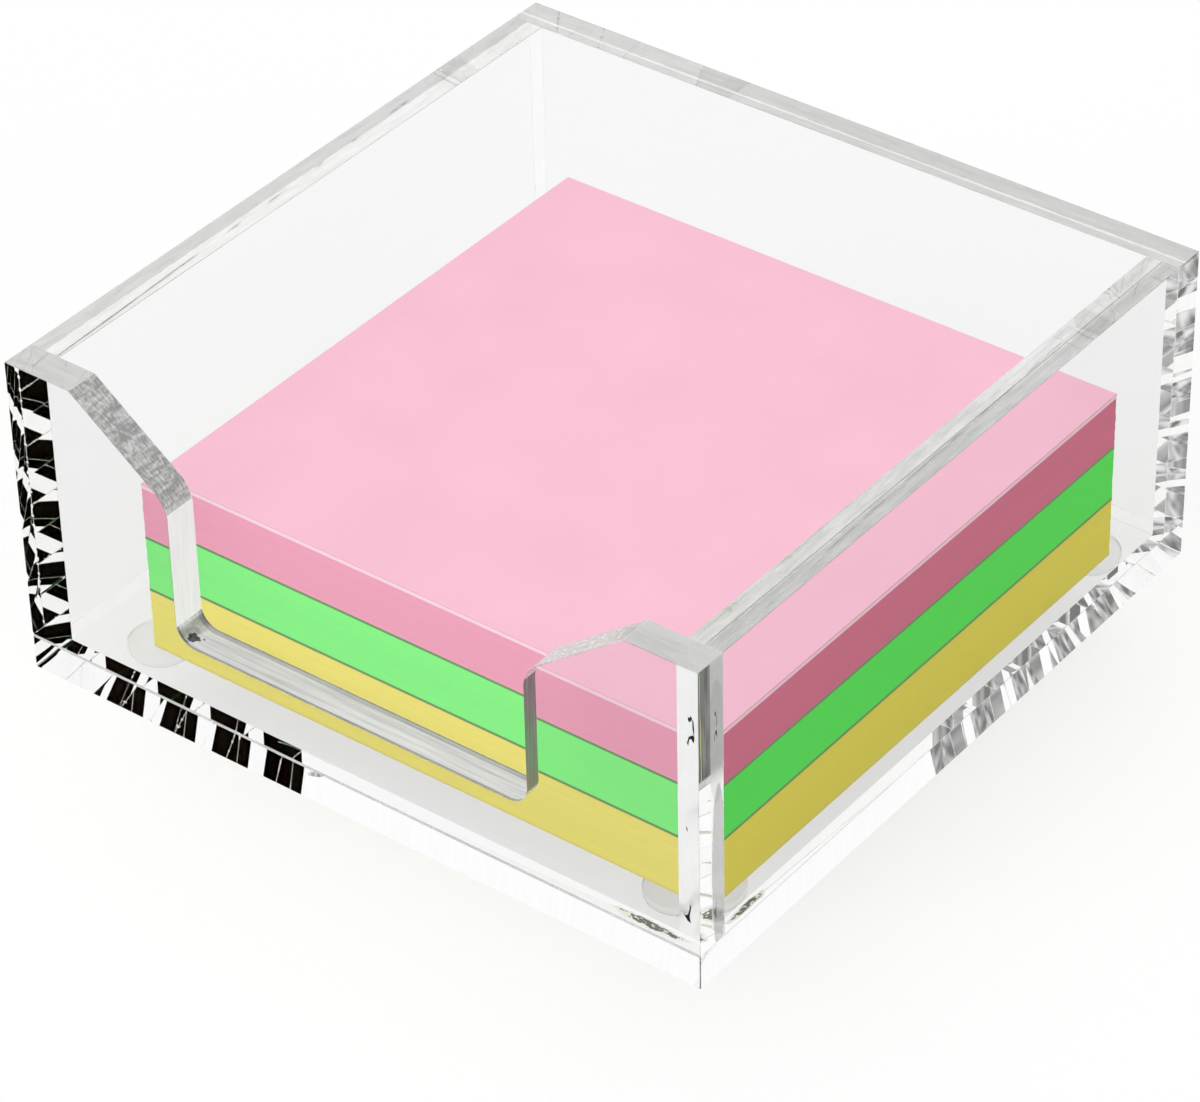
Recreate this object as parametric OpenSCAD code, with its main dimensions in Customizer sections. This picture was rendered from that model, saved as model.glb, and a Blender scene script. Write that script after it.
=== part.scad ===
// Clear acrylic memo pad holder: an open box of five glued sheets with a thumb cut-out
// in its front, on four stick-on feet, with a stack of three sticky-note pads inside.
// The origin is on the table, under the middle of the box. +Z is up, and the cut-out
// faces -Y.

/* [Box] */
// Height from the underside of the base sheet to the rim
box_h = 42.5; // [36:0.5:70]
// Thickness of the four wall sheets
wall_t = 4.3; // [3:0.1:5.5]
// Thickness of the base sheet
base_t = 4.6; // [3:0.1:6]

/* [Cut-out] */
// Length of rim left in the front wall on each side of the cut-out
rim_end_w = 9.5; // [5:0.5:16]
// How far a sloping shoulder runs inwards from there
shoulder_run = 13.3; // [8:0.1:18]
// Height of the sill under the cut-out, above the base sheet
sill_h = 9.3; // [5:0.1:14]
// How far the sloping shoulders drop below the rim
shoulder_drop = 10; // [6:0.5:12]
// Radius of the two lower corners
cut_corner_r = 2.5; // [1:0.1:4]
// Radius where a shoulder turns into an upright side
shoulder_r = 4; // [1:0.1:6]

/* [Feet] */
// Diameter of a foot
foot_d = 7.9; // [6:0.1:12]
// Height of a foot
foot_h = 2.2; // [1.6:0.1:4]
// Height of the straight skirt above the dome of a foot
foot_skirt_h = 0.6; // [0.3:0.1:1]
// Diameter of the flattened spot that a foot stands on
foot_spot_d = 2.4; // [1:0.1:4]
// Distance of the middle of a foot from the nearest left or right side of the base
foot_side_inset = 10.5; // [6:0.5:20]
// Distance of the middle of a front foot from the front of the base
foot_front_inset = 12.5; // [6:0.5:20]
// Distance of the middle of a back foot from the back of the base
foot_back_inset = 8.5; // [6:0.5:20]

/* [Note pads] */
// Width of a note, left to right
note_w = 76; // [60:0.5:120]
// Depth of a note, front to back
note_d = 76; // [60:0.5:120]
// Thickness of one sheet of paper
note_t = 0.1; // [0.08:0.01:0.2]
// Thickness of the backing card under each pad
backing_t = 0.35; // [0.2:0.05:0.8]
// Thickness of the yellow pad at the bottom, with its backing
yellow_h = 8; // [4:0.1:12]
// Thickness of the green pad in the middle, with its backing
green_h = 7.3; // [4:0.1:12]
// Thickness of the pink pad on top, with its backing
pink_h = 7.6; // [4:0.1:12]
// Gap between the pads and the left wall
left_gap = 8.5; // [0.5:0.1:12]
// Gap between the pads and the right wall
right_gap = 1.9; // [0.5:0.1:12]
// Gap between the pads and the front wall
front_gap = 4.6; // [1:0.1:12]
// Gap between the pads and the back wall
back_gap = 6.4; // [1:0.1:12]

/* [Hidden] */
$fn = 64;

// Colours of the clear sheets, the clear feet, the backing cards and the papers
acrylic = [0.88, 0.91, 0.92, 0.35];
clear_rubber = [0.86, 0.87, 0.88, 0.7];
card = [0.50, 0.55, 0.44];
yellow_paper = [0.95, 0.91, 0.48];
green_paper = [0.52, 0.95, 0.52];
pink_paper = [0.98, 0.75, 0.83];

// The box is as large as its notes, the gaps around them and its walls
body_w = note_w + left_gap + right_gap + 2 * wall_t;
body_d = note_d + front_gap + back_gap + 2 * wall_t;

// Levels above the table
base_z = foot_h;
floor_z = base_z + base_t;
green_z = floor_z + yellow_h;
pink_z = green_z + green_h;
top_note_z = pink_z + pink_h - note_t;

// Front, back and side sheets stand on the base sheet
wall_h = box_h - base_t;
side_d = body_d - 2 * wall_t;

// Near left corner of the pads
pad_x = left_gap + wall_t - body_w / 2;
pad_y = front_gap + wall_t - body_d / 2;

// Half widths of the cut-out, at the rim and between its upright sides
cut_top_half_w = body_w / 2 - rim_end_w;
cut_half_w = cut_top_half_w - shoulder_run;

// Straight pieces in each rounded corner of the cut-out
arc_steps = 10;

// The dome of a foot is part of a ball that meets the spot below and the skirt above
dome_h = foot_h - foot_skirt_h;
dome_z = (pow(foot_d / 2, 2) - pow(foot_spot_d / 2, 2) + pow(dome_h, 2)) / (2 * dome_h);
dome_r = norm([foot_spot_d / 2, dome_z]);

// Direction from point a to point b
function unit(a, b) = (b - a) / norm(b - a);

// The same angle, brought between -180 and 180 degrees
function wrapped(angle) = angle > 180 ? angle - 360 : angle < -180 ? angle + 360 : angle;

// Points of an arc of radius r that rounds corner p between the lines to a and to b
function rounded(a, p, b, r) =
    let (
        to_a = unit(p, a),
        to_b = unit(p, b),
        half = acos(to_a * to_b) / 2,
        centre = p + unit([0, 0], to_a + to_b) * r / sin(half),
        first = p + to_a * r / tan(half) - centre,
        last = p + to_b * r / tan(half) - centre,
        start = atan2(first[1], first[0]),
        sweep = wrapped(atan2(last[1], last[0]) - start)
    )
    [for (i = [0 : arc_steps])
        let (angle = start + sweep * i / arc_steps)
        centre + r * [cos(angle), sin(angle)]];

// Right half of the cut-out's edge, from the rim down and inwards along the sill
function cut_edge() =
    let (
        rim = [cut_top_half_w, wall_h],
        shoulder = [cut_half_w, wall_h - shoulder_drop],
        corner = [cut_half_w, sill_h],
        middle = [0, sill_h]
    )
    concat([rim],
        rounded(rim, shoulder, corner, shoulder_r),
        rounded(shoulder, corner, middle, cut_corner_r));

// The same points on the left, in the opposite order
function mirrored(points) =
    [for (i = [len(points) - 1 : -1 : 0]) [-points[i][0], points[i][1]]];

// Flat outline of the front sheet, as it would be routed
module front_outline() {
    half_w = body_w / 2;
    polygon(concat(
        [[-half_w, 0], [half_w, 0], [half_w, wall_h]],
        cut_edge(),
        mirrored(cut_edge()),
        [[-half_w, wall_h]]));
}

module base_plate() {
    color(acrylic)
        translate([-body_w / 2, -body_d / 2, base_z])
            cube([body_w, body_d, base_t]);
}

module front_wall() {
    color(acrylic)
        translate([0, wall_t - body_d / 2, floor_z])
            rotate([90, 0, 0])
                linear_extrude(height = wall_t)
                    front_outline();
}

module back_wall() {
    color(acrylic)
        translate([-body_w / 2, body_d / 2 - wall_t, floor_z])
            cube([body_w, wall_t, wall_h]);
}

// A side sheet fits between the front and back sheets; x is its left face
module side_wall(x) {
    color(acrylic)
        translate([x, -side_d / 2, floor_z])
            cube([wall_t, side_d, wall_h]);
}

// A clear bumper with its dome down; side_x and side_y choose the corner by their sign
module foot(side_x, side_y) {
    foot_x = side_x * (body_w / 2 - foot_side_inset);
    foot_y = side_y < 0 ? foot_front_inset - body_d / 2 : body_d / 2 - foot_back_inset;
    color(clear_rubber)
        translate([foot_x, foot_y, 0])
            intersection() {
                translate([0, 0, dome_z])
                    sphere(r = dome_r);
                cylinder(h = foot_h, d = foot_d);
            }
}

// A flat stack of paper or card as large as a note, from level z upwards
module stack(z, thickness, paper) {
    color(paper)
        translate([pad_x, pad_y, z])
            cube([note_w, note_d, thickness]);
}

base_plate();
front_wall();
back_wall();
side_wall(-body_w / 2);  // left_wall
side_wall(body_w / 2 - wall_t);  // right_wall
foot(-1, -1);  // foot_front_left
foot(1, -1);  // foot_front_right
foot(-1, 1);  // foot_back_left
foot(1, 1);  // foot_back_right
stack(floor_z, backing_t, card);  // yellow_backing
stack(floor_z + backing_t, yellow_h - backing_t, yellow_paper);  // yellow_notes
stack(green_z, backing_t, card);  // green_backing
stack(green_z + backing_t, green_h - backing_t, green_paper);  // green_notes
stack(pink_z, backing_t, card);  // pink_backing
stack(pink_z + backing_t, pink_h - backing_t - note_t, pink_paper);  // pink_notes
stack(top_note_z, note_t, pink_paper);  // top_note
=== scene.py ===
# %% [markdown]
# # A clear memo pad holder
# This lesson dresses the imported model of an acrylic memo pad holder: five clear sheets
# welded into an open box, four stick-on bumpers under it, and three pads of sticky notes
# in it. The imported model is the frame: it gives every size and every moving body. This
# script adds the finer shapes, the finishes and the room.

# %% Load the frame
import math
import random

import bmesh
import bpy
from mathutils import Matrix, Vector


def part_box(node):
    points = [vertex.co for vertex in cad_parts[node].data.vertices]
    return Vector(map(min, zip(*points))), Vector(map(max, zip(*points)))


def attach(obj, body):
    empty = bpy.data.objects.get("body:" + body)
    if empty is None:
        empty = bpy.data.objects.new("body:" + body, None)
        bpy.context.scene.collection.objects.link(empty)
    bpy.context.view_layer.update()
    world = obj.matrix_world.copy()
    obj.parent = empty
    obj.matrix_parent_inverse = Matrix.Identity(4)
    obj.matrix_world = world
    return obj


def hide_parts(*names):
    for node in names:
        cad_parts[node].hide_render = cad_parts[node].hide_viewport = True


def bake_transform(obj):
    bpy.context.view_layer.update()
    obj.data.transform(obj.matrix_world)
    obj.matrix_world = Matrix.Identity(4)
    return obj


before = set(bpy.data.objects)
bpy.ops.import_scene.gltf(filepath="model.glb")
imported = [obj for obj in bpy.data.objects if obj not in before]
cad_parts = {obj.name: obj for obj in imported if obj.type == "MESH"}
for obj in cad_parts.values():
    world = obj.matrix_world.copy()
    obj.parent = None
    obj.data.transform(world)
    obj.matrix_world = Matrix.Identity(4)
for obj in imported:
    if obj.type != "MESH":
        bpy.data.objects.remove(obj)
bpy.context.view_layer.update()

MM = 0.001
TINY = 0.001 * MM
scene = bpy.context.scene
print("nodes:", len(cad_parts))

# %% [markdown]
# ## The camera
# The box was photographed from its right front and well above, with a long lens, so its
# upright edges stay nearly parallel. The camera could be placed by its coordinates, but
# an orbit is easier to match to a photo: back from a point over the middle of the box,
# then rolled, tipped up and swung round. The two shifts say how far the picture's middle
# is from the lens axis.

# %% Camera
SWING = math.radians(37.856)
TIP = math.radians(35.873)
ROLL = math.radians(-1.21)
DISTANCE = 584.0 * MM
AIM = Vector((0.0, 0.0, 20.575 * MM))
FOCAL_LENGTH = 153.1
SENSOR_WIDTH = 36.0
SHIFT_X = -0.0106
SHIFT_Y = -0.0583

lens = bpy.data.cameras.new("camera")
lens.lens = FOCAL_LENGTH
lens.sensor_width = SENSOR_WIDTH
lens.shift_x = SHIFT_X
lens.shift_y = SHIFT_Y
camera = bpy.data.objects.new("camera", lens)
camera.matrix_world = (
    Matrix.Translation(AIM)
    @ Matrix.Rotation(SWING, 4, "Z")
    @ Matrix.Rotation(math.radians(90) - TIP, 4, "X")
    @ Matrix.Rotation(ROLL, 4, "Z")
    @ Matrix.Translation((0.0, 0.0, DISTANCE))
)
scene.collection.objects.link(camera)
scene.camera = camera
print("camera at", [round(v, 3) for v in camera.matrix_world.translation])

# %% [markdown]
# ## Light paths
# Clear acrylic bends a ray at every face, and inside a sheet a ray is mirrored from face
# to face some dozens of times before it comes out at a far edge. That is where the dark
# and white cells in the edges of such a box come from. Cycles gives up after a few
# bounces unless it is told to go on. Caustics could brighten the table, but they are slow
# and noisy, so they are off, and the acrylic's own material lets lamps through instead.

# %% How far a ray may go
GLASS_BOUNCES = 64
SOFT_BOUNCES = 3
SEE_THROUGH_BOUNCES = 96

scene.view_settings.view_transform = "Standard"
scene.cycles.max_bounces = GLASS_BOUNCES
scene.cycles.diffuse_bounces = SOFT_BOUNCES
scene.cycles.glossy_bounces = GLASS_BOUNCES
scene.cycles.transmission_bounces = GLASS_BOUNCES
scene.cycles.transparent_max_bounces = SEE_THROUGH_BOUNCES
scene.cycles.caustics_reflective = False
scene.cycles.caustics_refractive = False
print("a ray may turn", GLASS_BOUNCES, "times in the acrylic")


# %% [markdown]
# ## Helpers for node materials
# A material is a graph of nodes. It could be built by hand in the shader editor, but a
# script can say every value, and these helpers keep its lines short.

# %% Node helpers
def add_node(tree, kind, **values):
    node = tree.nodes.new(kind)
    for name, value in values.items():
        setattr(node, name, value)
    return node


def new_material(name):
    material = bpy.data.materials.new(name)
    material.use_nodes = True
    tree = material.node_tree
    tree.nodes.clear()
    return material, tree, tree.nodes.new("ShaderNodeOutputMaterial")


def grey(value):
    return (value, value, value, 1)


def work_out(tree, operation, *values):
    """A Math node whose values are sockets or numbers; gives its result's socket."""
    node = add_node(tree, "ShaderNodeMath", operation=operation)
    for socket, value in zip(node.inputs, values):
        if isinstance(value, bpy.types.NodeSocket):
            tree.links.new(value, socket)
        else:
            socket.default_value = value
    return node.outputs[0]


def stretch(tree, value, source, target=(0.0, 1.0)):
    """Map one span of values onto another; what lies outside stays at the nearer end."""
    node = add_node(tree, "ShaderNodeMapRange")
    labels = ("From Min", "From Max", "To Min", "To Max")
    for label, number in zip(labels, source + target):
        node.inputs[label].default_value = number
    tree.links.new(value, node.inputs["Value"])
    return node.outputs[0]


def noise(tree, place, scale, detail, roughness=0.5):
    node = add_node(tree, "ShaderNodeTexNoise")
    node.inputs["Scale"].default_value = scale
    node.inputs["Detail"].default_value = detail
    node.inputs["Roughness"].default_value = roughness
    tree.links.new(place, node.inputs["Vector"])
    return node.outputs["Fac"]


# %% [markdown]
# ## The room
# The box stands on a white table top that runs out to a white background. Rays that look
# at things, from the camera or by way of gloss or glass, see a white of strength 1 there.
# Brighter lamps could whiten the table too, but they would burn out the pads. The table
# keeps a share of a lit surface, so that it still shows the box's shadow. Rays that carry
# soft light between surfaces see a dimmer room.

# %% Rays that look at things
def looking_rays(tree):
    """1 for camera, mirror and glass rays, 0 for rays that carry soft light."""
    path = add_node(tree, "ShaderNodeLightPath")
    camera_or_gloss = work_out(
        tree, "MAXIMUM", path.outputs["Is Camera Ray"], path.outputs["Is Glossy Ray"]
    )
    return work_out(tree, "MAXIMUM", camera_or_gloss, path.outputs["Is Transmission Ray"])


# %% World
ROOM_LIGHT = 0.36
BACKDROP_WHITE = 1.0

world = bpy.data.worlds.new("studio")
scene.world = world
world.use_nodes = True
tree = world.node_tree
tree.nodes.clear()
room_light = add_node(tree, "ShaderNodeBackground")
room_light.inputs["Color"].default_value = grey(1.0)
room_light.inputs["Strength"].default_value = ROOM_LIGHT
backdrop = add_node(tree, "ShaderNodeBackground")
backdrop.inputs["Color"].default_value = grey(1.0)
backdrop.inputs["Strength"].default_value = BACKDROP_WHITE
choice = add_node(tree, "ShaderNodeMixShader")
world_output = add_node(tree, "ShaderNodeOutputWorld")
tree.links.new(looking_rays(tree), choice.inputs["Fac"])
tree.links.new(room_light.outputs[0], choice.inputs[1])
tree.links.new(backdrop.outputs[0], choice.inputs[2])
tree.links.new(choice.outputs[0], world_output.inputs["Surface"])
print("room light", ROOM_LIGHT)

# %% Table finish
TABLE_GREY = 0.8
SHADOW_SHARE = 0.28

table_finish, tree, output = new_material("table_top")
soft = add_node(tree, "ShaderNodeBsdfDiffuse")
soft.inputs["Color"].default_value = grey(TABLE_GREY)
white = add_node(tree, "ShaderNodeEmission")
white.inputs["Color"].default_value = grey(1.0)
white.inputs["Strength"].default_value = BACKDROP_WHITE
shadowed = add_node(tree, "ShaderNodeBsdfDiffuse")
shadowed.inputs["Color"].default_value = grey(1.0)
seen = add_node(tree, "ShaderNodeMixShader")
seen.inputs["Fac"].default_value = SHADOW_SHARE
choice = add_node(tree, "ShaderNodeMixShader")
tree.links.new(white.outputs[0], seen.inputs[1])
tree.links.new(shadowed.outputs[0], seen.inputs[2])
tree.links.new(looking_rays(tree), choice.inputs["Fac"])
tree.links.new(soft.outputs[0], choice.inputs[1])
tree.links.new(seen.outputs[0], choice.inputs[2])
tree.links.new(choice.outputs[0], output.inputs["Surface"])
print("the table shows", SHADOW_SHARE, "of its shadows")

# %% Table top
TABLE_SIZE = 6.0


def flat_board(name, width, height, finish, place):
    """A rectangle of the room, put in its place by a matrix. It isn't part of the object."""
    mesh = bpy.data.meshes.new(name)
    bm = bmesh.new()
    bmesh.ops.create_grid(bm, x_segments=1, y_segments=1, size=0.5)
    bmesh.ops.scale(bm, vec=(width, height, 1), verts=bm.verts)
    bmesh.ops.transform(bm, matrix=place, verts=bm.verts)
    bm.to_mesh(mesh)
    bm.free()
    mesh.materials.append(finish)
    board = bpy.data.objects.new(name, mesh)
    scene.collection.objects.link(board)
    return board


flat_board("table_top", TABLE_SIZE, TABLE_SIZE, table_finish, Matrix.Identity(4))
print("the table top is", TABLE_SIZE, "m wide")


# %% [markdown]
# ## Cards that only the glass sees
# A studio isn't white all round. In the photo the cells in the left and front edges are
# black and those in the right ones grey. They could be drawn on the edges, but then they
# would stay still when the box is seen from another side. Followed through the sheets,
# those rays leave the box towards the back right and the front left. So a black and a
# grey card stand there, and refraction makes the cells. The grey card is unevenly bright,
# which streaks its cells. The cards add no soft light and no shade, and the camera
# doesn't see them.

# %% Studio cards
CARD_AWAY = 1.2
CARD_WIDTH = 1.2
CARD_HEIGHT = 1.0
PATCHES_PER_M = 12.0
USUAL_NOISE = (0.35, 0.65)


def studio_card(name, towards, darkest, lightest):
    finish, tree, output = new_material(name)
    where = add_node(tree, "ShaderNodeTexCoord")
    patches = noise(tree, where.outputs["Object"], PATCHES_PER_M, detail=1.0)
    tone = stretch(tree, patches, USUAL_NOISE, (darkest, lightest))
    glow = add_node(tree, "ShaderNodeEmission")
    tree.links.new(tone, glow.inputs["Strength"])
    tree.links.new(glow.outputs[0], output.inputs["Surface"])
    away = Vector(towards).normalized()
    turn = (-away).to_track_quat("Z", "Y").to_matrix().to_4x4()
    place = Matrix.Translation(away * CARD_AWAY) @ turn
    card = flat_board(name, CARD_WIDTH, CARD_HEIGHT, finish, place)
    card.visible_camera = False
    card.visible_diffuse = False
    card.visible_shadow = False
    print(name, "stands towards", [round(v, 2) for v in away])


studio_card("black_card", towards=(0.55, 0.60, 0.58), darkest=0.0, lightest=0.0)
studio_card("grey_card", towards=(-0.50, -0.62, 0.60), darkest=0.20, lightest=0.82)


# %% [markdown]
# ## Lamps
# The photo's light is soft and comes from all round. Area lamps could make it, but they
# would light a large table unevenly. So three broad suns stand for large soft boxes: one
# overhead, one at the front and a weaker one at the right. A sun's angle makes its shadow
# soft, and its strength divided by pi is how brightly a white surface facing it shows, so
# the helper takes that share.

# %% Suns
def soft_sun(name, towards, spread, share):
    lamp = bpy.data.lights.new(name, "SUN")
    lamp.angle = math.radians(spread)
    lamp.energy = share * math.pi
    holder = bpy.data.objects.new(name, lamp)
    holder.rotation_mode = "QUATERNION"
    holder.rotation_quaternion = Vector(towards).to_track_quat("Z", "Y")
    scene.collection.objects.link(holder)
    holder.visible_glossy = False
    holder.visible_transmission = False
    print(name, "adds", share)


soft_sun("overhead", towards=(-0.4, 0.35, 0.85), spread=60, share=0.42)
soft_sun("front_fill", towards=(-0.35, -0.9, 0.5), spread=50, share=0.40)
soft_sun("right_fill", towards=(0.9, -0.3, 0.4), spread=50, share=0.26)


# %% [markdown]
# ## Finishing a piece
# Every piece is modelled as a bmesh in its place, so its object stays at the origin. It
# could be modelled elsewhere and moved, but the frame expects pieces that haven't been
# moved, turned or scaled. The piece gets its materials, and the imported node that it
# stands for is hidden.

# %% Piece helpers
def finish_piece(name, bm, materials, node):
    bm.normal_update()
    mesh = bpy.data.meshes.new(name)
    bm.to_mesh(mesh)
    bm.free()
    for material in materials:
        mesh.materials.append(material)
    piece = bpy.data.objects.new(name, mesh)
    scene.collection.objects.link(piece)
    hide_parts(node)
    print(name, "has", len(mesh.polygons), "faces")
    return piece


def block(low, high):
    """A box between two corners."""
    bm = bmesh.new()
    bmesh.ops.create_cube(bm, size=1.0)
    bmesh.ops.scale(bm, vec=high - low, verts=bm.verts)
    bmesh.ops.translate(bm, vec=(low + high) / 2, verts=bm.verts)
    return bm


def split_across(bm, axis, place):
    """Cut every face that a plane across an axis meets, and keep both sides."""
    normal = Vector((0, 0, 0))
    normal[axis] = 1
    geom = list(bm.verts) + list(bm.edges) + list(bm.faces)
    bmesh.ops.bisect_plane(bm, geom=geom, plane_co=normal * place, plane_no=normal)


# %% [markdown]
# ## Marks of the saw and the router
# A sheet's faces are cast against glass, but its edges are sawn or routed and then flamed
# or buffed. That leaves fine lines and a slow ripple in them. They could be modelled at
# the cost of millions of faces, so noise makes both, in one group that the marked
# finishes share. The material squeezes the coordinates along the lines' own direction, in
# millimetres. The group puts out a height for the bump, and a mask of the lines for the
# tone and the blur.

# %% Cut marks group
def new_group(name, inputs, outputs):
    group = bpy.data.node_groups.new(name, "ShaderNodeTree")
    for label, kind in inputs:
        group.interface.new_socket(label, in_out="INPUT", socket_type=kind)
    for label, kind in outputs:
        group.interface.new_socket(label, in_out="OUTPUT", socket_type=kind)
    start = add_node(group, "NodeGroupInput")
    end = add_node(group, "NodeGroupOutput")
    return group, start, end


NUMBER = "NodeSocketFloat"
ARROW = "NodeSocketVector"
LINES_PER_MM = 1.3
RIPPLES_PER_MM = 0.16
LINE_SPAN = (0.32, 0.68)

cut_marks, start, end = new_group(
    "cut_marks",
    [("Place", ARROW), ("Lines", NUMBER), ("Ripple", NUMBER)],
    [("Height", NUMBER), ("Mask", NUMBER)],
)
lines = noise(cut_marks, start.outputs["Place"], LINES_PER_MM, detail=3.0, roughness=0.6)
ripple = noise(cut_marks, start.outputs["Place"], RIPPLES_PER_MM, detail=1.0)
raised = work_out(cut_marks, "MULTIPLY", lines, start.outputs["Lines"])
rolling = work_out(cut_marks, "MULTIPLY", ripple, start.outputs["Ripple"])
height = work_out(cut_marks, "ADD", raised, rolling)
cut_marks.links.new(height, end.inputs["Height"])
cut_marks.links.new(stretch(cut_marks, lines, LINE_SPAN), end.inputs["Mask"])
print("cut_marks puts out", [s.name for s in end.inputs if s.name])

# %% [markdown]
# ## Spots, strips and cracks
# The photo shows single marks too: a burn where the router turned, dull strips that the
# buffing wheel missed, pockets of air in a joint, and cracks in a joint that stayed dry.
# Each could be a piece of its own, but it lies in a sheet's surface, so it is a mask. The
# group measures how far a point is from the mark's middle, as a share of its half sizes,
# and noise makes the outline ragged. A very large half size makes a strip. Core is the
# same mark a little smaller. Cracks are thin upright threads inside it, where a stretched
# noise is close to its middle value.

# %% Ragged spot group
GRAIN_PER_M = 0.9 / MM
CORE_REACH = 0.75
THREADS_PER_M = 1.1 / MM
THREAD_STRETCH = 4.5
THREAD_HALF = 0.035
NOISE_MIDDLE = 0.5

spot_group, start, end = new_group(
    "ragged_spot",
    [("Place", ARROW), ("Middle", ARROW), ("Halves", ARROW), ("Ragged", NUMBER)],
    [("Mask", NUMBER), ("Core", NUMBER), ("Cracks", NUMBER)],
)
place = start.outputs["Place"]
offset = add_node(spot_group, "ShaderNodeVectorMath", operation="SUBTRACT")
spot_group.links.new(place, offset.inputs[0])
spot_group.links.new(start.outputs["Middle"], offset.inputs[1])
share = add_node(spot_group, "ShaderNodeVectorMath", operation="DIVIDE")
spot_group.links.new(offset.outputs[0], share.inputs[0])
spot_group.links.new(start.outputs["Halves"], share.inputs[1])
reach = add_node(spot_group, "ShaderNodeVectorMath", operation="LENGTH")
spot_group.links.new(share.outputs[0], reach.inputs[0])
grain = noise(spot_group, place, GRAIN_PER_M, detail=2.0)
swing = work_out(spot_group, "SUBTRACT", grain, NOISE_MIDDLE)
swing = work_out(spot_group, "MULTIPLY", swing, start.outputs["Ragged"])
reach = work_out(spot_group, "ADD", reach.outputs["Value"], swing)
inside = work_out(spot_group, "LESS_THAN", reach, 1.0)
spot_group.links.new(inside, end.inputs["Mask"])
core = work_out(spot_group, "LESS_THAN", reach, CORE_REACH)
spot_group.links.new(core, end.inputs["Core"])
upright_grain = add_node(spot_group, "ShaderNodeMapping", vector_type="TEXTURE")
upright_grain.inputs["Scale"].default_value = (1.0, 1.0, THREAD_STRETCH)
spot_group.links.new(place, upright_grain.inputs["Vector"])
threads = noise(spot_group, upright_grain.outputs[0], THREADS_PER_M, detail=0.5)
off_middle = work_out(spot_group, "SUBTRACT", threads, NOISE_MIDDLE)
off_middle = work_out(spot_group, "ABSOLUTE", off_middle)
thin = work_out(spot_group, "LESS_THAN", off_middle, THREAD_HALF)
cracks = work_out(spot_group, "MULTIPLY", inside, thin)
spot_group.links.new(cracks, end.inputs["Cracks"])
print("ragged_spot puts out", [s.name for s in end.inputs if s.name])


# %% Use of a spot
ENDLESS = 900.0


def mark(middle, halves, ragged, keeps, part="Mask"):
    """A mark's middle and half sizes in millimetres, and the share of tone that it keeps."""
    return middle, halves, ragged, keeps, part


def ragged_spot(tree, place, middle, halves, ragged):
    node = add_node(tree, "ShaderNodeGroup", node_tree=spot_group)
    node.inputs["Middle"].default_value = [v * MM for v in middle]
    node.inputs["Halves"].default_value = [v * MM for v in halves]
    node.inputs["Ragged"].default_value = ragged
    tree.links.new(place, node.inputs["Place"])
    return node


# %% [markdown]
# ## Clear acrylic
# The plastic is a Principled shader that transmits everything, with acrylic's index of
# 1.49. A box like this throws hardly any shadow, because light passes its walls, and
# Cycles can't find a lamp through glass. So for rays that carry soft light, and for rays
# that look for a lamp, a Transparent shader takes the glass's place.
#
# Plain acrylic also mirrors the white room as a veil over everything behind it, and the
# photo has hardly any of that. A black room would remove it, but would blacken the
# edges too. So the surface gets what a coated lens has, a thin film that cancels most of
# the facing glare, and its specular tint is dark.

# %% Light through the acrylic
ACRYLIC_INDEX = 1.49
SOFT_TINT = 0.96
FACING_GLOSS = 0.1
COATING_NM = 130.0
COATING_INDEX = 1.22


def let_light_through(tree, glass, output, tint):
    path = add_node(tree, "ShaderNodeLightPath")
    straight = add_node(tree, "ShaderNodeBsdfTransparent")
    straight.inputs["Color"].default_value = grey(tint)
    for_soft = add_node(tree, "ShaderNodeMixShader")
    for_lamps = add_node(tree, "ShaderNodeMixShader")
    tree.links.new(path.outputs["Is Diffuse Ray"], for_soft.inputs["Fac"])
    tree.links.new(glass, for_soft.inputs[1])
    tree.links.new(straight.outputs[0], for_soft.inputs[2])
    tree.links.new(path.outputs["Is Shadow Ray"], for_lamps.inputs["Fac"])
    tree.links.new(for_soft.outputs[0], for_lamps.inputs[1])
    tree.links.new(straight.outputs[0], for_lamps.inputs[2])
    tree.links.new(for_lamps.outputs[0], output.inputs["Surface"])


def clear_plastic(tree, clear, index):
    glass = add_node(tree, "ShaderNodeBsdfPrincipled")
    glass.inputs["Specular Tint"].default_value = grey(FACING_GLOSS)
    glass.inputs["IOR"].default_value = index
    glass.inputs["Transmission Weight"].default_value = clear
    if index == ACRYLIC_INDEX:
        glass.inputs["Thin Film Thickness"].default_value = COATING_NM
        glass.inputs["Thin Film IOR"].default_value = COATING_INDEX
    return glass


# %% [markdown]
# ## Marks on the acrylic
# The finishes of a sheet differ in how clear they are, in their tone and blur where the
# marks are shallow and where they are deep, and in how deep the marks go. One function
# takes these values, rather than a graph for each finish. The cut-out's left shoulder
# also has lines that cross the first set. A buffed edge isn't flat but a little crowned,
# which makes its cells bulge. The crown is a few hundredths of a millimetre high, too
# little to show as a shape, so it is in the bump.

# %% Parts of a marked finish
CROSSED_SPAN = (0.65, 1.7)


def place_marks(tree, where, squeeze, turn=0.0):
    """The cut marks on a piece; squeeze is each axis's scale, in marks per millimetre."""
    in_mm = add_node(tree, "ShaderNodeMapping", vector_type="TEXTURE")
    in_mm.inputs["Scale"].default_value = [MM / s for s in squeeze]
    in_mm.inputs["Rotation"].default_value = (0.0, turn, 0.0)
    tree.links.new(where.outputs["Object"], in_mm.inputs["Vector"])
    marks = add_node(tree, "ShaderNodeGroup", node_tree=cut_marks)
    tree.links.new(in_mm.outputs[0], marks.inputs["Place"])
    return marks


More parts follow.
